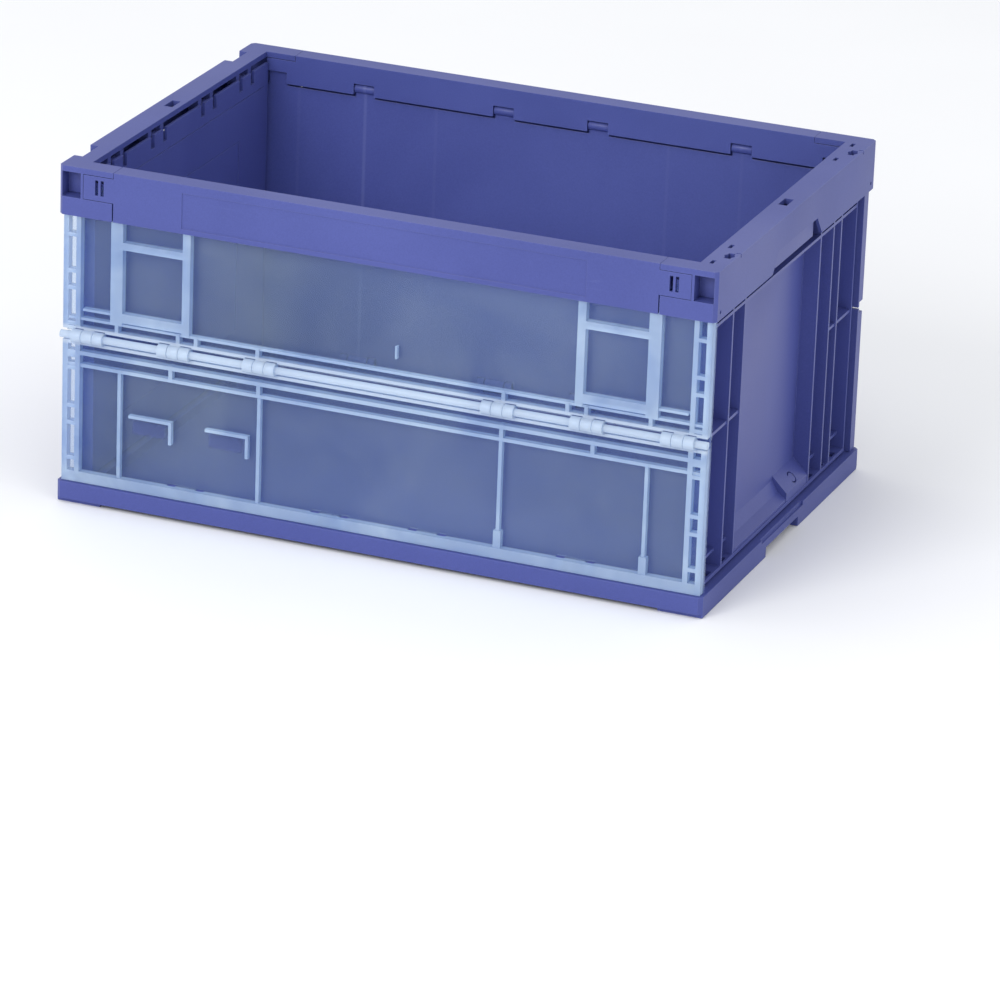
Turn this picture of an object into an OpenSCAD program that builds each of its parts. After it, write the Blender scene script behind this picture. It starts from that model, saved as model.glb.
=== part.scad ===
// Collapsible storage crate: base tray, four-piece top frame, two swinging
// end walls and two-part long walls hinged at mid height.
// Frame: X along the length, -Y is the clear front wall, Z up,
// origin at the centre of the footprint on the resting plane.
// End parts are drawn at -X and long parts at -Y; the opposite ones are turned.

/* [Overall] */
// Outside length along X
crate_length = 530; // [520:1:540]
// Outside width along Y
crate_width = 354; // [350:1:358]
// Outside height when set up
crate_height = 272; // [271:0.5:274]
// Depth of the top frame skirt
skirt_depth = 39; // [38:0.5:40]
// Height of the base rim
base_height = 17; // [16.5:0.5:17]
// Height of the end feet below the base
foot_height = 3; // [2:0.5:4]

/* [Walls] */
// Thickness of moulded skins
skin = 2.5; // [2:0.1:2.8]
// Thickness of moulded ribs
rib = 2.4; // [1.8:0.1:3]
// Depth of the long walls over their ribs
wall_depth = 10; // [9.5:0.1:10]

/* [Hinges] */
// Radius of the short hinge pins
pin_radius = 2; // [1.8:0.1:2.2]
// Radius of the long mid-height hinge rods
rod_radius = 3; // [2.5:0.1:3.1]
// Radial running clearance of pins and rods
clearance = 0.05; // [0.02:0.01:0.1]

/* [Colours] */
// Colour of the blue mouldings
blue = "#5964a8"; // [#5964a8, #4a7a5a, #777777]
// Colour of the translucent mouldings
clear = "#9db4dc"; // [#9db4dc, #c8d4e4]

/* [Hidden] */

sides = [-1, 1];
out_x = crate_length/2;                  // outer faces of the crate
out_y = crate_width/2;
skirt_z = crate_height - skirt_depth;    // lower edge of the top frame

// Long walls, as distances from the centre plane
wall_x = out_x - 3;                      // half length
rib_y = out_y - 3;                       // outer face of the ribs
in_y = rib_y - wall_depth;               // inner face
skin_y = in_y + skin;                    // outer face of the skin
rib_root = 0.5;                          // depth the ribs sink into a skin

// Hinge axes
hinge_y = in_y + 1;                      // top and base hinges of the long walls
top_z = crate_height - 20;
base_z = base_height + 4.5;
mid_y = rib_y + 1;                       // mid-height rods
mid_z = (top_z + base_z)/2;
end_x = out_x - 15;                      // end wall hinges
end_z = crate_height - 14;

// Hinge stations: X for the long walls, Y for the end walls
pin_stations = [-160, -40, 40, 160];
rod_stations = [-240, -168, -97, 97, 168, 240];
end_stations = [-118, -46, 46, 118];

// Hinge bosses
pin_boss = 4;                            // radius of ears and knuckles on pins
boss_room = pin_boss + 0.6;              // radius kept free around them
rod_boss = 5.2;                          // radius of knuckles on the rods
pin_bore = pin_radius + clearance;
long_ear = [9, 15];                      // near and far face from the station
end_ear = [8, 14];

// ---------- helpers ----------
// box between two corners, in either order
module box(x0, x1, y0, y1, z0, z1)
  translate([min(x0, x1), min(y0, y1), min(z0, z1)])
    cube([abs(x1 - x0), abs(y1 - y0), abs(z1 - z0)]);

// box centred on the Z axis, from its half sizes
module mid_box(x, y, z0, z1) box(-x, x, -y, y, z0, z1);

module cyl_x(x0, x1, y, z, r)
  translate([min(x0, x1), y, z])
    rotate([0, 90, 0])
      cylinder(h = abs(x1 - x0), r = r, $fn = 48);

module cyl_y(y0, y1, x, z, r)
  translate([x, max(y0, y1), z])
    rotate([90, 0, 0])
      cylinder(h = abs(y1 - y0), r = r, $fn = 48);

// extrusion of an XZ profile along Y
module extrude_y(y0, y1)
  translate([0, y1, 0])
    rotate([90, 0, 0])
      linear_extrude(y1 - y0) children();

// slab with chamfered corners, from its half sizes
module slab(x, y, chamfer, z0, z1) {
  flat_x = x - chamfer;
  flat_y = y - chamfer;
  translate([0, 0, z0]) linear_extrude(z1 - z0)
    polygon([[-flat_x, -y], [flat_x, -y], [x, -flat_y], [x, flat_y],
             [flat_x, y], [-flat_x, y], [-x, flat_y], [-x, -flat_y]]);
}

// pairs of ears for the long walls, joined to their part at root_z
module long_ears(y, z, root_z)
  for (x = pin_stations, s = sides) {
    cyl_x(x + s*long_ear[0], x + s*long_ear[1], y, z, pin_boss);
    box(x + s*long_ear[0], x + s*long_ear[1], y - pin_boss, y + pin_boss, root_z, z);
  }

// a cylinder on the hinge axis at each pin station
module at_pins(reach, y, z, r)
  for (x = pin_stations) cyl_x(x - reach, x + reach, y, z, r);

module long_bores(y, z) at_pins(long_ear[1] + 1, y, z, pin_bore);

// ---------- base tray ----------
tray_x = end_x - 12;   // half sizes inside the inner rim
tray_y = in_y - 4;
foot_notch = 36;       // half width of the notch under each end

module foot(s) difference() {
  box(s*out_x, s*(out_x-36), -out_y+3, out_y-3, 0, 7);
  box(s*(out_x+1), s*(out_x-37), -foot_notch, foot_notch, -1, 8);
  for (t = sides)
    box(s*(out_x-4), s*(out_x-33), t*40, t*(out_y-8), -1, 5);
}

module base() color(blue) difference() {
  union() {
    // hollow outer rim
    difference() {
      slab(out_x, out_y, 3, foot_height, base_height);
      slab(out_x-3, out_y-3, 1.5, foot_height-1, base_height-3);
      mid_box(tray_x, tray_y, 0, base_height+1);
    }
    // inner rim wall and floor
    difference() {
      mid_box(tray_x+2.5, tray_y+2.5, 6, base_height-0.5);
      mid_box(tray_x, tray_y, 9, base_height);
    }
    // underside rib grid
    for (i = [-3:3]) box(i*66-1, i*66+1, -(tray_y+2), tray_y+2, foot_height+0.5, 7);
    for (j = [-2:2]) box(-(tray_x+1), tray_x+1, j*56-1, j*56+1, foot_height+0.5, 7);
    // end feet, and cross webs inside the hollow rim
    for (s = sides) {
      foot(s);
      for (y = [-150, -100, 100, 150])
        box(s*(out_x-2), s*(tray_x+2), y-1, y+1, foot_height+1, base_height-2);
    }
    for (t = sides, x = [-212, -148, -85, 0, 85, 148, 212])
      box(x-1, x+1, t*(in_y-3), t*(out_y-2), foot_height+0.5, base_height-2);
    for (t = sides) long_ears(t*hinge_y, base_z, base_height-1);
  }
  // central notch under each end, rim relief and slot above it
  for (s = sides) {
    box(s*(out_x+1), s*(out_x-14), -foot_notch, foot_notch, -1, 8);
    box(s*(out_x+1), s*(out_x-2), -46, 46, base_height-3, base_height+1);
    box(s*(end_x+3), s*(end_x+7), -6, 6, base_height-4, base_height+1);
  }
  for (t = sides) {
    long_bores(t*hinge_y, base_z);
    // clearance troughs for the wall knuckles
    for (x = pin_stations)
      box(x-8.6, x+8.6, t*(hinge_y-6), t*(hinge_y+boss_room),
          base_height-1.6, base_height+2);
  }
}

// ---------- top frame ----------
skirt = 2.6;                             // skirt thickness
rail = 17;                               // width of the long sides from above
end_plate = 20;                          // width of the end plate
arm = 45;                                // reach of the corner arms
joint_gap = 0.3;                         // gap between end pieces and beams
beam_x = out_x - arm - joint_gap;        // half length of the beam body
tongue_x = out_x - end_plate - joint_gap;
arm_z = skirt_z + 14.5;                  // top of the lower corner arm

// end piece with edge notches or with locating holes
module frame_end(notched) difference() {
  face = -out_x;
  union() {
    box(face, face+end_plate, -out_y, out_y, crate_height-4.5, crate_height);
    for (t = sides) {
      // upper arm
      box(face+end_plate-1, face+arm, t*(out_y-rail), t*out_y,
          crate_height-4.5, crate_height);
      // lower arm
      box(face, face+44.2, t*(out_y-skirt), t*out_y, skirt_z, arm_z);
      box(face+1, face+43, t*(out_y-9), t*out_y, arm_z-2.5, arm_z);
      // window recess
      box(face+18, face+20, t*(out_y-14), t*out_y, arm_z-2.5, crate_height-3);
      box(face+1, face+20, t*(out_y-14), t*(out_y-12), arm_z+0.3, crate_height-3);
      box(face+1, face+20, t*(out_y-14), t*out_y, arm_z-2.2, arm_z);
    }
    // outer skirt
    box(face, face+skirt, -out_y, out_y, skirt_z, crate_height-1);
    // hinge ears for the end wall
    for (y = end_stations, s = sides) {
      cyl_y(y + s*end_ear[0], y + s*end_ear[1], -end_x, end_z, pin_boss);
      box(-end_x-pin_boss, -end_x+pin_boss, y + s*end_ear[0], y + s*end_ear[1],
          end_z, crate_height-4);
    }
  }
  // hand opening in the lower edge
  translate([face-1, 0, 0]) rotate([90, 0, 90]) linear_extrude(5)
    polygon([[-56, skirt_z-1], [56, skirt_z-1], [43, skirt_z+15], [-43, skirt_z+15]]);
  // corner chamfers
  for (t = sides) translate([face, t*out_y, 0]) rotate([0, 0, 45])
    translate([-2, -2, skirt_z-1]) cube([4, 4, skirt_depth+2]);
  // centre locating hole
  box(face+8, face+15, -8, 8, crate_height-6, crate_height+1);
  for (t = sides)
    if (notched) box(face-1, face+7, t*123, t*151, crate_height-9, crate_height+1);
    else locating_holes(face, t);
  // round hole low on the skirt
  for (t = sides) translate([face-1, t*(out_y-9), skirt_z+6]) rotate([0, 90, 0])
    cylinder(h = 5, r = 1.5, $fn = 24);
  for (y = end_stations)
    cyl_y(y - end_ear[1] - 1, y + end_ear[1] + 1, -end_x, end_z, pin_bore);
}

// keyed round hole, edge slit and two slots on side t of the end plate
module locating_holes(face, t) {
  hole_y = t*137;
  floor_z = crate_height - 6;
  over_z = crate_height + 1;
  translate([face+6, hole_y, floor_z]) cylinder(h = 8, r = 4, $fn = 40);
  box(face+3.5, face+8.5, hole_y-6, hole_y+6, floor_z, over_z);
  box(face-1, face+4, hole_y-9, hole_y-7.6, crate_height-3, over_z);
  for (y = [116, 155]) box(face+11, face+14, t*y-4, t*y+4, floor_z, over_z);
}

module frame_end_left() color(blue) frame_end(true);
module frame_end_right() color(blue) rotate([0, 0, 180]) frame_end(false);

// front long beam; the back beam is the same moulding turned round
module long_beam() difference() {
  lip_y = -(out_y-14.5);
  rail_y = -(out_y-rail);
  union() {
    box(-beam_x, beam_x, -out_y, rail_y, crate_height-4, crate_height);
    box(-beam_x, beam_x, -out_y, -(out_y-skirt), skirt_z, crate_height-1);
    box(-beam_x, beam_x, lip_y, rail_y, arm_z, crate_height-1);
    // snap tongue that fills the corner opening
    for (s = sides) {
      root_x = s*(beam_x-2);
      tip_x = s*tongue_x;
      box(root_x, tip_x, -out_y, -(out_y-skirt), arm_z+0.4, crate_height-4.9);
      box(root_x, tip_x, -out_y, rail_y, crate_height-10, crate_height-7.6);
      box(root_x, tip_x, lip_y, rail_y, arm_z, crate_height-5);
    }
    // stiffening webs across the channel
    for (x = [-200:100:200])
      box(x-1, x+1, -(out_y-1), -(out_y-16), crate_height-14, crate_height-3);
    long_ears(-hinge_y, top_z, crate_height-3);
  }
  // twin slots in each tongue
  for (s = sides, step = [0, 4.6])
    box(s*(out_x-30-step), s*(out_x-32.6-step), -out_y-1, -(out_y-4),
        skirt_z+19, crate_height-7.9);
  // shallow plain panel on the outside
  box(-163, 163, -out_y-1, -(out_y-0.7), skirt_z+4, crate_height-7);
  // openings where the wall tabs show inside
  for (x = concat(pin_stations, [-236, 236]))
    box(x-8.8, x+8.8, -(out_y-13.5), -(out_y-18), skirt_z+14, top_z+boss_room);
  long_bores(-hinge_y, top_z);
}

module frame_beam_front() color(blue) long_beam();
module frame_beam_back() color(blue) rotate([0, 0, 180]) long_beam();

// ---------- end walls ----------
end_half = 159;                // half width
end_rib_x = end_x + 8.5;       // outer face of the ribs
end_in_x = end_x - 7;          // inner face of the skin
end_skin_x = end_in_x + skin;  // outer face of the skin
end_foot_z = base_height + 2;
end_top_z = end_z - 4.8;
recess_back = 93;              // Y edges of the recess in the left wall
recess_front = -73;
pad_back = -26;                // Y edge of the raised pad
end_knuckle = 7.7;             // half width of the knuckles

// rib or flange on the outer face, inset from the full rib depth
module end_rib(y0, y1, z0, z1, inset = 0)
  box(-(end_skin_x-rib_root), -(end_rib_x-inset), y0, y1, z0, z1);

module end_wall() difference() {
  root_x = -(end_skin_x-rib_root);
  union() {
    box(-end_in_x, -end_skin_x, -end_half, end_half, end_foot_z, end_top_z);
    // inner lip that closes the gap under the frame top
    box(-end_in_x, -end_skin_x, -end_half, end_half, end_top_z-1, end_z+5.4);
    // perimeter, column and recess-edge ribs
    for (y = [end_half, 121, recess_back+rib, recess_front, -103, -121, -end_half+rib])
      end_rib(y, y-rib, end_foot_z, end_top_z);
    end_rib(recess_back+1, end_half-1, mid_z-1.2, mid_z+1.2, 1);
    end_rib(-104, -(end_half-1), mid_z-1.2, mid_z+1.2, 1);
    end_rib(recess_back+1, end_half-1, end_foot_z+14, end_foot_z+16.4, 6);
    end_rib(recess_front-1, -(end_half-1), end_foot_z+14, end_foot_z+16.4, 6);
    // top and bottom flanges
    end_rib(-end_half, end_half, end_top_z-31, end_top_z-28.6);
    end_rib(-end_half, end_half, end_top_z-8, end_top_z-5.6, 1);
    end_rib(-end_half, end_half, end_foot_z, end_foot_z+3);
    // grip lip behind the hand opening
    box(-(end_rib_x+1.4), -(end_rib_x+3.6), -42, 42, end_top_z-19.5, end_top_z-5.6);
    box(-(end_rib_x-2), -(end_rib_x+3.6), -42, 42, end_top_z-8, end_top_z-5.6);
    // sloping ledge along the foot of the recess
    extrude_y(recess_front-0.5, recess_back+0.5)
      polygon([[root_x, end_foot_z], [-(end_rib_x-1), end_foot_z],
               [-(end_rib_x-1), end_foot_z+5], [-(end_skin_x+5), end_foot_z+10],
               [root_x, end_foot_z+20]]);
    // raised pad on part of the ledge
    extrude_y(recess_front-0.5, pad_back)
      polygon([[root_x, end_foot_z], [-(end_rib_x-0.5), end_foot_z],
               [-(end_rib_x-0.5), end_foot_z+10], [root_x, end_foot_z+23]]);
    for (y = end_stations) {
      y0 = y - end_knuckle;
      y1 = y + end_knuckle;
      cyl_y(y0, y1, -end_x, end_z, pin_boss);
      box(-(end_x-0.5), -(end_x-4), y0, y1, end_top_z-4, end_z);
      box(-(end_x+3), -(end_x-6), y0, y1, end_top_z-7, end_top_z);
      box(-(end_x-3), -(end_x-5), y0, y1, end_z-4, end_z+2);
    }
  }
  // underside of the ledge, cored out
  extrude_y(recess_front+2, recess_back-2)
    polygon([[-(end_skin_x+1.5), end_foot_z-1], [-(end_rib_x-3.4), end_foot_z-1],
             [-(end_rib_x-3.4), end_foot_z+3], [-(end_skin_x+4.5), end_foot_z+7],
             [-(end_skin_x+1.5), end_foot_z+11]]);
  // notches of the lip around the frame's hinge ears
  for (y = end_stations, s = sides)
    box(-(end_in_x-1), -(end_skin_x+0.6), y+s*7.75, y+s*14.4, end_top_z, end_z+8);
  // slots through the bottom edge
  for (y = [-140, -112, -88, 108, 140])
    box(-(end_skin_x+1.6), -(end_rib_x-2), y-5, y+5, end_foot_z-1, end_foot_z+4);
  // horseshoe mark on the pad
  translate([-(end_skin_x+7.2), -50, end_foot_z+14]) rotate([0, -45, 0]) difference() {
    cylinder(h = 8, r = 5.2, $fn = 40, center = true);
    cylinder(h = 9, r = 3.8, $fn = 40, center = true);
    translate([0, 8, 0]) cube([5, 16, 9], center = true);
  }
  // groove of the hinge strip on the smooth inner face
  box(-(end_in_x-1), -(end_in_x+0.6), -150, 150, end_top_z-8.2, end_top_z-7.2);
  // moulded frame line on the inner face
  for (t = sides)
    box(-(end_in_x-1), -(end_in_x+0.5), t*104, t*105.2, end_foot_z+34, end_top_z-40);
  for (z = [end_foot_z+34, end_top_z-41.2])
    box(-(end_in_x-1), -(end_in_x+0.5), -104, 104, z, z+1.2);
  for (y = end_stations) cyl_y(y-9, y+9, -end_x, end_z, pin_bore);
}

module end_wall_left() color(blue) end_wall();
module end_wall_right() color(blue) rotate([0, 0, 180]) end_wall();

// ---------- long walls ----------
rod_knuckle = 4.5;         // half width of the upper wall's rod knuckles
knuckle_play = 0.4;        // gap around the rod knuckles
outer_knuckle = [rod_knuckle + knuckle_play, 13];  // lower wall's, each side
upper_pin_knuckle = 8.4;   // half widths of the knuckles on pins
lower_pin_knuckle = 8.2;

// rib on the outer face, inset from the full rib depth
module wall_rib(x0, x1, z0, z1, inset = 0)
  box(x0, x1, -(skin_y-rib_root), -(rib_y-inset), z0, z1);

// upright or short rib centred on x
module upright(x, half, z0, z1, inset = 0) wall_rib(x-half, x+half, z0, z1, inset);

// end strips: two uprights joined by rungs
module ladder(z0, z1, rungs) for (s = sides) {
  wall_rib(s*wall_x, s*(wall_x-4.4), z0, z1);
  wall_rib(s*(wall_x-10.5), s*(wall_x-14.5), z0, z1);
  for (z = rungs) wall_rib(s*(wall_x-1), s*(wall_x-13), z-1.5, z+1.5);
}

// rod knuckle from x0 to x1 with its web to the wall, up or down to web_z
module knuckle(x0, x1, web_z) {
  cyl_x(x0, x1, -mid_y, mid_z, rod_boss);
  box(x0, x1, -(skin_y-rib_root), -mid_y, mid_z, web_z);
}

// cut that clears the other wall's knuckle
module knuckle_cut(x0, x1, z0, z1) box(x0, x1, -(skin_y+1), -(mid_y+7), z0, z1);

module rod_bore() cyl_x(-wall_x-1, wall_x+1, -mid_y, mid_z, rod_radius+clearance);

// pockets around the hinge ears of the frame or base
module ear_pockets(near, z0, z1)
  for (x = pin_stations, s = sides)
    box(x+s*near, x+s*(long_ear[1]+0.5), -(in_y-1), -(hinge_y+boss_room), z0, z1);

module wall_upper() difference() {
  z0 = mid_z + 0.6;
  z1 = crate_height - 27.2;
  union() {
    box(-wall_x, wall_x, -in_y, -skin_y, z0, z1);
    ladder(z0+4.6, skirt_z+10, [217, 188, 174.5, 146]);
    // flange next to the rod, then the line above it
    wall_rib(-wall_x, wall_x, mid_z+4.6, mid_z+7.2);
    wall_rib(-wall_x, wall_x, mid_z+12.5, mid_z+14.6, 1);
    for (s = sides) {
      wall_rib(s*212.5, s*222.5, mid_z+13, skirt_z+8);  // wide upright
      wall_rib(s*156.5, s*163, mid_z+13, skirt_z+8);    // narrow upright
      wall_rib(s*160, s*220, 211, 217);                 // rung
      wall_rib(s*160, s*220, 152.5, 160);               // heavy bottom rung
      wall_rib(s*246, s*216, mid_z+20, mid_z+22, 1);
      for (x = [217, 151, 166, 100]) upright(s*x, 1.6, mid_z+5, mid_z+14);
    }
    wall_rib(10.8, 12.6, mid_z+24, mid_z+34, 3);
    for (x = rod_stations) knuckle(x-rod_knuckle, x+rod_knuckle, mid_z+rod_boss);
    // top hinge knuckles and the two plain tabs
    at_pins(upper_pin_knuckle, -hinge_y, top_z, pin_boss);
    for (x = pin_stations)
      box(x-upper_pin_knuckle, x+upper_pin_knuckle, -in_y, -(hinge_y+2.5), z1-2, top_z);
    for (x = [-236, 236]) box(x-7.8, x+7.8, -in_y, -skin_y, z1-1, top_z+3);
  }
  rod_bore();
  for (x = rod_stations, s = sides)
    knuckle_cut(x + s*rod_knuckle, x + s*(outer_knuckle[1]+knuckle_play),
                mid_z-1, mid_z+rod_boss+knuckle_play);
  long_bores(-hinge_y, top_z);
  ear_pockets(upper_pin_knuckle, top_z-boss_room, top_z+6);
}

module wall_lower() difference() {
  z0 = base_height + 0.4;
  z1 = mid_z - 0.6;
  union() {
    box(-wall_x, wall_x, -in_y, -skin_y, z0, z1);
    ladder(z0+1, z1-4, [120, 110, 79, 65, 36.5]);
    // lines below the rod and the foot rail
    wall_rib(-wall_x, wall_x, mid_z-7.2, mid_z-4.6);
    wall_rib(-wall_x, wall_x, mid_z-15.5, mid_z-12.3);
    wall_rib(-wall_x, wall_x, mid_z-25.5, mid_z-22.8, 1);
    wall_rib(-wall_x, wall_x, z0, z0+8.5);
    for (s = sides) {
      for (x = [215, 98.5]) upright(s*x, 1.4, z0+5, mid_z-23, 2);
      for (x = [172, 99]) upright(s*x, 1.6, mid_z-25, mid_z-12, 1);
    }
    for (x = [98.5, 215]) upright(x, 3, z0+5, z0+22, 1);
    // two card clips, on the -X side of the centre
    for (x = [-207, -143]) {
      wall_rib(x, x+36, 76, 78.4, 2);
      wall_rib(x+33.6, x+36, 60, 78, 2);
    }
    for (x = rod_stations, s = sides)
      knuckle(x + s*outer_knuckle[0], x + s*outer_knuckle[1], mid_z-rod_boss);
    // base hinge knuckles
    at_pins(lower_pin_knuckle, -hinge_y, base_z, pin_boss);
    for (x = pin_stations)
      box(x-lower_pin_knuckle, x+lower_pin_knuckle, -in_y, -(hinge_y+2), base_z, base_z+6);
  }
  rod_bore();
  for (x = rod_stations)
    knuckle_cut(x-4.8, x+4.8, mid_z-rod_boss-knuckle_play, mid_z+1);
  long_bores(-hinge_y, base_z);
  ear_pockets(lower_pin_knuckle, base_height, base_z+boss_room);
}

module front_wall_upper() color(clear, 0.6) wall_upper();
module front_wall_lower() color(clear, 0.6) wall_lower();
module back_wall_upper() color(blue) rotate([0, 0, 180]) wall_upper();
module back_wall_lower() color(blue) rotate([0, 0, 180]) wall_lower();

// ---------- rods and pins ----------
module rod(half) cyl_x(-half, half, -mid_y, mid_z, rod_radius);
module long_pins(z) at_pins(long_ear[1], -hinge_y, z, pin_radius);
module end_pins()
  for (y = end_stations) cyl_y(y-end_ear[1], y+end_ear[1], -end_x, end_z, pin_radius);

module front_hinge_rod() color(clear, 0.8) rod(wall_x+1);
module back_hinge_rod() color(blue) rotate([0, 0, 180]) rod(253);
module front_top_pins() color(clear) long_pins(top_z);
module back_top_pins() color(blue) rotate([0, 0, 180]) long_pins(top_z);
module front_base_pins() color(clear) long_pins(base_z);
module back_base_pins() color(blue) rotate([0, 0, 180]) long_pins(base_z);
module end_pins_left() color(blue) end_pins();
module end_pins_right() color(blue) rotate([0, 0, 180]) end_pins();

base();
frame_end_left();
frame_end_right();
frame_beam_front();
frame_beam_back();
end_wall_left();
end_wall_right();
front_wall_upper();
front_wall_lower();
back_wall_upper();
back_wall_lower();
front_hinge_rod();
back_hinge_rod();
front_top_pins();
back_top_pins();
front_base_pins();
back_base_pins();
end_pins_left();
end_pins_right();
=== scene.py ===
"""Folding crate in satin blue plastic with a see-through front wall.

It stands upright just above the floor, its long walls along X, the front facing -Y.
All lengths are in metres.
"""

import math

import bpy
from mathutils import Matrix, Vector

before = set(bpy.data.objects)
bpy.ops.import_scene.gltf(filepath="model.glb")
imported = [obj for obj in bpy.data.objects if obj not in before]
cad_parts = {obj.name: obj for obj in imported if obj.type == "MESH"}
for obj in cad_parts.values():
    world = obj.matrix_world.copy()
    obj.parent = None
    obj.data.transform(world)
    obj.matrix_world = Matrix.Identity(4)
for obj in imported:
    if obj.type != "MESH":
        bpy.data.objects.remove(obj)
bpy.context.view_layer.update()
scene = bpy.context.scene

# ------------------------------------------------------------------ dimensions and colours
EDGE_ROUND = 0.0005  # radius of the small round on moulded edges
BASE_EDGE_ROUND = 0.0003
WELD_DISTANCE = 0.00002

FLOOR_SIZE = 40.0
FLOOR_Z = -0.0003

BLACK = (0, 0, 0)
WHITE = (1, 1, 1)

# Blue plastic: the low, middle and high colours of its clouding
BODY_BLUE = ((0.060, 0.076, 0.272), (0.066, 0.083, 0.290), (0.073, 0.091, 0.310))
WALL_BLUE = ((0.062, 0.077, 0.274), (0.070, 0.086, 0.296), (0.078, 0.096, 0.318))
PIN_BLUE = ((0.058, 0.073, 0.255), (0.066, 0.083, 0.285), (0.074, 0.093, 0.310))

# Worn plastic is the high colour times the gain plus the lift, per channel
WORN_GAIN = (1.9, 1.9, 1.35)
WORN_LIFT = (0.05, 0.05, 0.04)

# Faint upright pale lines on the long blue wall, a painted highlight along sink marks: (x,
# strength)
SINK_LINE_HIGHLIGHTS = (
    (-0.2175, 0.035), (-0.1598, 0.12), (-0.0985, 0.035),
    (0.0985, 0.035), (0.1598, 0.035), (0.2175, 0.035),
)
# Pale colour of the painted highlight along the sink marks
SINK_LINE_HIGHLIGHT_COLOR = (0.30, 0.34, 0.62)

# Clear plastic: opacity where the surface is at skin depth and at rib depth
SKIN_OPACITY = 0.125
RIB_OPACITY = 0.76
HINGE_LINE_Z = 0.13675
HINGE_LINE_DEPTHS = (0.1705, 0.1735)  # the whitening fades in between these depths
# Centres in x and height in z of the painted shade rectangles under the card clips
CLIP_SHADE_XS = (-0.1925, -0.1285)
CLIP_SHADE_Z = 0.0672


# ------------------------------------------------------------------ node helpers
def feed(tree, socket, value):
    """Link a socket into an input, or set the input's value; colours are given as RGB."""
    if isinstance(value, bpy.types.NodeSocket):
        tree.links.new(value, socket)
    elif socket.type == "RGBA":
        socket.default_value = (*value, 1)
    else:
        socket.default_value = value


def node(tree, kind, inputs=None, **settings):
    """Add a shader node; inputs maps socket names or numbers to links or values."""
    made = tree.nodes.new("ShaderNode" + kind)
    for name, value in settings.items():
        setattr(made, name, value)
    for key, value in (inputs or {}).items():
        feed(tree, made.inputs[key], value)
    return made


def new_material(name):
    material = bpy.data.materials.new(name)
    material.use_nodes = True
    material.node_tree.nodes.clear()
    return material, material.node_tree


def object_coords(tree, stretch=(1, 1, 1)):
    coords = node(tree, "TexCoord").outputs["Object"]
    return node(tree, "Mapping", {"Vector": coords, "Scale": stretch}).outputs["Vector"]


def noise(tree, vector, **values):
    return node(tree, "TexNoise", {"Vector": vector, **values}).outputs["Fac"]


def calc(tree, operation, first, second=None, clamp=False):
    inputs = {0: first}
    if second is not None:
        inputs[1] = second
    return node(tree, "Math", inputs, operation=operation, use_clamp=clamp).outputs[0]


def times(tree, first, second):
    return calc(tree, "MULTIPLY", first, second, clamp=True)


def map_range(tree, value, source=(0, 1), target=(0, 1)):
    return node(tree, "MapRange", {
        "Value": value,
        "From Min": source[0],
        "From Max": source[1],
        "To Min": target[0],
        "To Max": target[1],
    }).outputs["Result"]


def ramp(tree, factor, stops):
    """Colour ramp; stops are (position, RGB)."""
    made = node(tree, "ValToRGB", {"Fac": factor})
    elements = made.color_ramp.elements
    while len(elements) > 1:
        elements.remove(elements[-1])
    elements[0].position = stops[0][0]
    elements[0].color = (*stops[0][1], 1)
    for position, color in stops[1:]:
        elements.new(position).color = (*color, 1)
    return made.outputs["Color"]


def mix_color(tree, factor, first, second, blend="MIX"):
    # sockets 6 and 7 are the colour pair of the Mix node
    return node(tree, "Mix", {0: factor, 6: first, 7: second},
                data_type="RGBA", blend_type=blend).outputs[2]


def mix_shader(tree, factor, first, second):
    return node(tree, "MixShader", {0: factor, 1: first, 2: second}).outputs[0]


def bump(tree, height, strength, distance):
    return node(tree, "Bump", {"Height": height, "Strength": strength, "Distance": distance})


def band(tree, coordinate, centre, half, soft):
    """1 within half of the centre, fading to 0 over soft."""
    offset = calc(tree, "SUBTRACT", coordinate, centre)
    distance = calc(tree, "ABSOLUTE", offset)
    return map_range(tree, distance, source=(half + soft, half))


def add_masks(tree, masks):
    masks = iter(masks)
    total = next(masks)
    for mask in masks:
        total = calc(tree, "ADD", total, mask, clamp=True)
    return total


# ------------------------------------------------------------------ blue plastic
def sink_line_highlights(tree, color, lines):
    """Lay soft pale lines at fixed x over the colour, a painted highlight along sink marks."""
    x = node(tree, "SeparateXYZ", {0: object_coords(tree)}).outputs[0]
    mask = add_masks(tree, (
        times(tree, band(tree, x, centre, half=0.0007, soft=0.0011), strength)
        for centre, strength in lines
    ))
    return mix_color(tree, mask, color, SINK_LINE_HIGHLIGHT_COLOR)


def scuff_mask(tree, patches):
    """Thin scratches, kept to the patches."""
    scratches = noise(tree, object_coords(tree, (1.0, 1.0, 7.0)),
                      Scale=38.0, Detail=6.0, Roughness=0.75, Distortion=1.4)
    scratch_mask = ramp(tree, scratches, [(0.62, BLACK), (0.72, WHITE)])
    patch_mask = ramp(tree, patches, [(0.52, BLACK), (0.66, WHITE)])
    scuffs = calc(tree, "MULTIPLY", scratch_mask, patch_mask)
    scuff_strength = 0.16
    return calc(tree, "MULTIPLY", scuffs, scuff_strength)


def edge_mask(tree):
    """Edges, found where the rounded normal departs from the true one."""
    rounded = node(tree, "Bevel", {"Radius": 0.0011}, samples=4).outputs["Normal"]
    normal = node(tree, "NewGeometry").outputs["Normal"]
    agreement = node(tree, "VectorMath", {0: rounded, 1: normal}, operation="DOT_PRODUCT")
    return map_range(tree, agreement.outputs["Value"], source=(0.985, 0.80), target=(0.0, 0.22))


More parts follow.
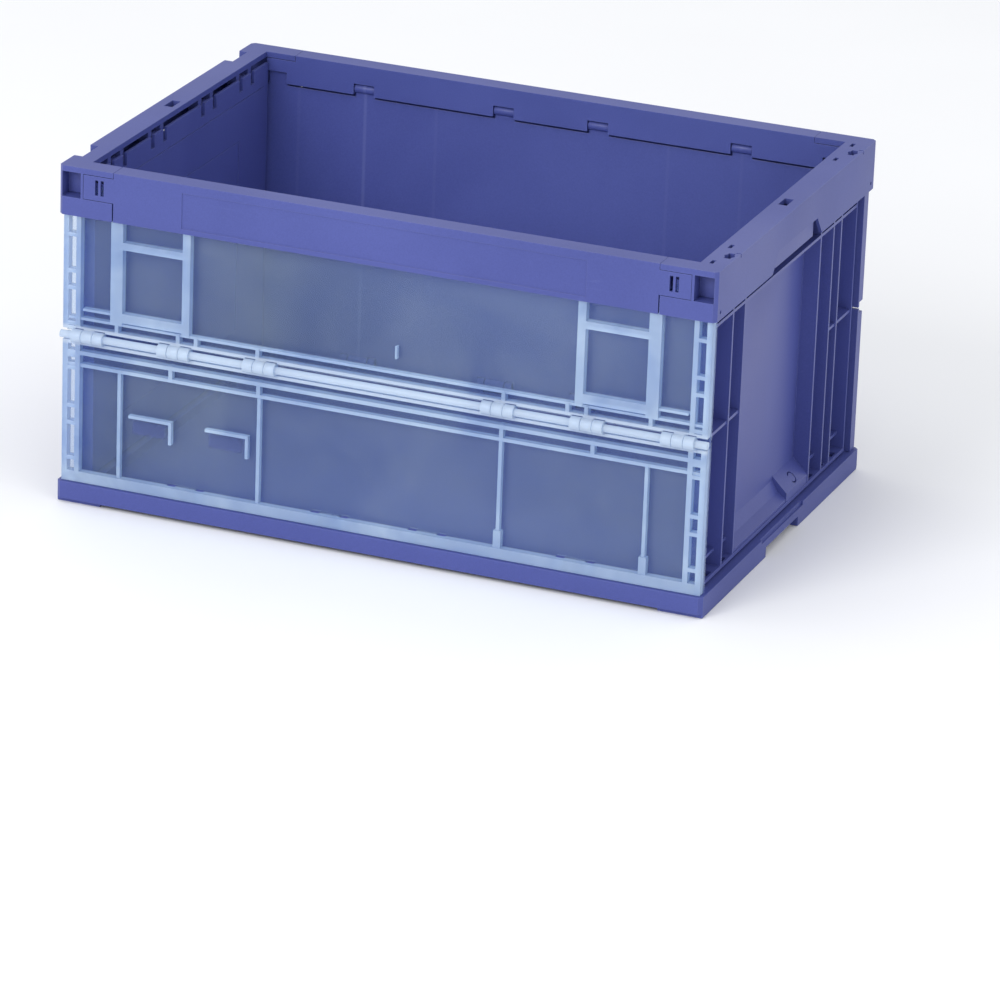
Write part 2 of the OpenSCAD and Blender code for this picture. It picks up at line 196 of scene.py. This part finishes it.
def moulded(name, shades, roughness, flow=(1, 1, 1), lines=()):
    """Satin moulded plastic: clouding stretched by flow, fine grain, scuffs, pale edges."""
    material, tree = new_material(name)
    low, middle, high = shades

    clouds = noise(tree, object_coords(tree, flow),
                   Scale=7.0, Detail=3.0, Roughness=0.55, Distortion=0.6)
    color = ramp(tree, clouds, [(0.32, low), (0.52, middle), (0.74, high)])
    specks = noise(tree, object_coords(tree), Scale=900.0, Detail=2.0, Roughness=0.6)
    speck_tint = map_range(tree, specks, source=(0.3, 0.7), target=(0.94, 1.06))
    color = mix_color(tree, 1.0, color, speck_tint, blend="MULTIPLY")
    # painted highlight lines along the sink marks
    if lines:
        color = sink_line_highlights(tree, color, lines)

    patches = noise(tree, object_coords(tree), Scale=9.0, Detail=1.0)
    wear = calc(tree, "ADD", scuff_mask(tree, patches), edge_mask(tree), clamp=True)
    worn = [c * gain + lift for c, gain, lift in zip(high, WORN_GAIN, WORN_LIFT)]
    color = mix_color(tree, wear, color, worn)

    # the patches also vary the sheen
    sheen = map_range(tree, patches, target=(roughness - 0.09, roughness + 0.12))

    # fine grain over a slight orange peel
    grain = bump(tree, specks, strength=0.10, distance=0.0002)
    peel_height = noise(tree, object_coords(tree), Scale=55.0, Detail=2.0)
    peel = bump(tree, peel_height, strength=0.10, distance=0.0006)
    feed(tree, peel.inputs["Normal"], grain.outputs["Normal"])

    surface = node(tree, "BsdfPrincipled", {
        "Base Color": color,
        "Roughness": sheen,
        "Specular IOR Level": 0.26,
        "Normal": peel.outputs["Normal"],
    })
    node(tree, "OutputMaterial", {"Surface": surface.outputs[0]})
    return material


# ------------------------------------------------------------------ clear plastic
def clip_recess_shade(tree, x, z):
    """Two rectangles of painted shade, side by side, in the recesses under the card clips."""
    return add_masks(tree, (
        times(tree,
              band(tree, x, centre, half=0.0125, soft=0.002),
              band(tree, z, CLIP_SHADE_Z, half=0.0042, soft=0.0022))
        for centre in CLIP_SHADE_XS
    ))


def translucent(name, skin_depth, rib_depth):
    """Hazy see-through skin with milky ribs; depth is measured along -Y from the origin."""
    material, tree = new_material(name)
    coords = node(tree, "TexCoord").outputs["Object"]
    x, y, z = node(tree, "SeparateXYZ", {0: coords}).outputs
    depth = calc(tree, "MULTIPLY", y, -1.0)
    thickness = map_range(tree, depth, source=(skin_depth, rib_depth))
    vector = object_coords(tree)
    haze = noise(tree, vector, Scale=11.0, Detail=3.0, Roughness=0.6, Distortion=0.8)
    fine = noise(tree, vector, Scale=420.0, Detail=2.0)
    normal = bump(tree, fine, strength=0.012, distance=0.0003).outputs["Normal"]

    # milky body, whiter along the thick hinge line
    body = ramp(tree, haze, [(0.3, (0.37, 0.51, 0.78)), (0.7, (0.56, 0.70, 0.87))])
    line = band(tree, z, HINGE_LINE_Z, half=0.0062, soft=0.0025)
    proud = map_range(tree, depth, source=HINGE_LINE_DEPTHS)
    hinge_whitening = 0.85
    whiteness = times(tree, times(tree, line, proud), hinge_whitening)
    color = mix_color(tree, whiteness, body, (0.74, 0.84, 0.95))
    diffuse = node(tree, "BsdfDiffuse", {"Color": color, "Normal": normal}).outputs[0]
    glow = node(tree, "BsdfTranslucent", {"Color": color}).outputs[0]
    glow_share = 0.35
    milk = mix_shader(tree, glow_share, diffuse, glow)

    # see-through part, less of it where the plastic is thick or hazy
    clear = node(tree, "BsdfTransparent", {"Color": (0.88, 0.935, 1.0)}).outputs[0]
    opacity = map_range(tree, thickness, target=(SKIN_OPACITY, RIB_OPACITY))
    haze_gain = map_range(tree, haze, target=(0.85, 1.2))
    surface = mix_shader(tree, times(tree, opacity, haze_gain), clear, milk)

    # painted shade in the recesses under the card clips, in the skin only
    shade_bsdf = node(tree, "BsdfDiffuse", {"Color": (0.075, 0.10, 0.27)}).outputs[0]
    recess_shade = clip_recess_shade(tree, x, z)
    skin = calc(tree, "SUBTRACT", 1.0, thickness)
    recess_shade_strength = 0.5
    shade_amount = times(tree, times(tree, recess_shade, skin), recess_shade_strength)
    surface = mix_shader(tree, shade_amount, surface, shade_bsdf)

    # satin reflection
    gloss = node(tree, "BsdfGlossy", {
        "Roughness": 0.26,
        "Color": (0.9, 0.95, 1),
        "Normal": normal,
    }).outputs[0]
    fresnel = node(tree, "Fresnel", {"IOR": 1.35}).outputs[0]
    gloss_strength = 0.55
    reflection = calc(tree, "MULTIPLY", fresnel, gloss_strength)
    surface = mix_shader(tree, reflection, surface, gloss)
    node(tree, "OutputMaterial", {"Surface": surface})
    return material


# ------------------------------------------------------------------ pieces
materials = {
    "frame": moulded("blue_frame", BODY_BLUE, roughness=0.40),
    "base": moulded("blue_base", BODY_BLUE, roughness=0.44, flow=(0.7, 1, 1)),
    "wall": moulded("blue_wall", WALL_BLUE, roughness=0.36, flow=(1, 1, 0.6)),
    "long": moulded("blue_long_wall", WALL_BLUE, roughness=0.36, flow=(1, 1, 0.6),
                    lines=SINK_LINE_HIGHLIGHTS),
    "pin": moulded("blue_pin", PIN_BLUE, roughness=0.32),
    "clear": translucent("clear_wall", skin_depth=0.1667, rib_depth=0.1690),
    "clear_rod": translucent("clear_rod", skin_depth=0.1600, rib_depth=0.1610),
}

PIECE_MATERIALS = {
    "base": "base",
    "frame_end_left": "frame",
    "frame_end_right": "frame",
    "frame_beam_front": "frame",
    "frame_beam_back": "frame",
    "end_wall_left": "wall",
    "end_wall_right": "wall",
    "back_wall_upper": "long",
    "back_wall_lower": "long",
    "front_wall_upper": "clear",
    "front_wall_lower": "clear",
    "front_hinge_rod": "clear_rod",
    "back_hinge_rod": "pin",
    "front_top_pins": "pin",
    "back_top_pins": "pin",
    "front_base_pins": "pin",
    "back_base_pins": "pin",
    "end_pins_left": "pin",
    "end_pins_right": "pin",
}


def soften_edges(piece, width):
    """Join the split corners, then put a small round on every real edge."""
    weld = piece.modifiers.new("weld", "WELD")
    weld.merge_threshold = WELD_DISTANCE
    bevel = piece.modifiers.new("round", "BEVEL")
    bevel.width = width
    bevel.segments = 2
    bevel.limit_method = "ANGLE"
    bevel.angle_limit = math.radians(50)
    bevel.use_clamp_overlap = True
    bevel.harden_normals = False
    bevel.loop_slide = False


for name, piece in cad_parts.items():
    piece.data.materials.clear()
    piece.data.materials.append(materials[PIECE_MATERIALS[name]])
    soften_edges(piece, BASE_EDGE_ROUND if name == "base" else EDGE_ROUND)


# ------------------------------------------------------------------ floor and world
def add_object(name, data):
    made = bpy.data.objects.new(name, data)
    scene.collection.objects.link(made)
    return made


def floor_material():
    material, tree = new_material("pale_floor")
    mottle = noise(tree, object_coords(tree), Scale=3.0, Detail=2.0)
    stops = [(0.3, (0.93, 0.935, 0.945)), (0.7, (0.95, 0.955, 0.965))]
    surface = node(tree, "BsdfPrincipled", {
        "Base Color": ramp(tree, mottle, stops),
        "Roughness": 0.75,
        "Specular IOR Level": 0.2,
    })
    node(tree, "OutputMaterial", {"Surface": surface.outputs[0]})
    return material


def build_floor():
    half = FLOOR_SIZE / 2
    corners = [(x * half, y * half, FLOOR_Z) for x, y in ((-1, -1), (1, -1), (1, 1), (-1, 1))]
    mesh = bpy.data.meshes.new("floor")
    mesh.from_pydata(corners, [], [(0, 1, 2, 3)])
    floor = add_object("floor", mesh)
    mesh.materials.append(floor_material())
    return floor


build_floor()

world = bpy.data.worlds.new("studio")
scene.world = world
world.use_nodes = True
background = world.node_tree.nodes["Background"]
background.inputs["Color"].default_value = (0.97, 0.98, 1.0, 1)
background.inputs["Strength"].default_value = 0.90


# ------------------------------------------------------------------ lights
def area_light(name, location, target, size, energy):
    light = bpy.data.lights.new(name, "AREA")
    light.shape = "DISK"
    light.size = size
    light.energy = energy
    lamp = add_object(name, light)
    lamp.location = location
    aim = Vector(target) - Vector(location)
    lamp.rotation_euler = aim.to_track_quat("-Z", "Y").to_euler()


area_light("key", location=(-0.9, -3.0, 1.95), target=(0, 0, 0.12), size=1.8, energy=55)
area_light("fill", location=(2.8, -1.5, 1.8), target=(0, 0, 0.15), size=1.8, energy=9)
area_light("top", location=(-0.3, -0.5, 3.0), target=(0, 0, 0.1), size=1.6, energy=4)

# ------------------------------------------------------------------ camera
# The camera's own axes in world space; it looks along the reverse of CAMERA_BACK
CAMERA_RIGHT = (0.92541632, 0.3773296, 0.03502863)
CAMERA_UP = (-0.16716313, 0.32351537, 0.93134005)
CAMERA_BACK = (0.34008987, -0.86773278, 0.362462)
CAMERA_LOCATION = (1.68213896, -4.20935141, 1.75060596)

lens = bpy.data.cameras.new("camera")
lens.sensor_width = 36.0  # mm
lens.lens = 224.386  # focal length, mm
lens.clip_start = 0.1
lens.clip_end = 60
camera = add_object("camera", lens)
pose = Matrix((CAMERA_RIGHT, CAMERA_UP, CAMERA_BACK)).transposed().to_4x4()
pose.translation = CAMERA_LOCATION
camera.matrix_world = pose
scene.camera = camera

scene.view_settings.view_transform = "Standard"
scene.view_settings.look = "None"
scene.view_settings.exposure = 0.0
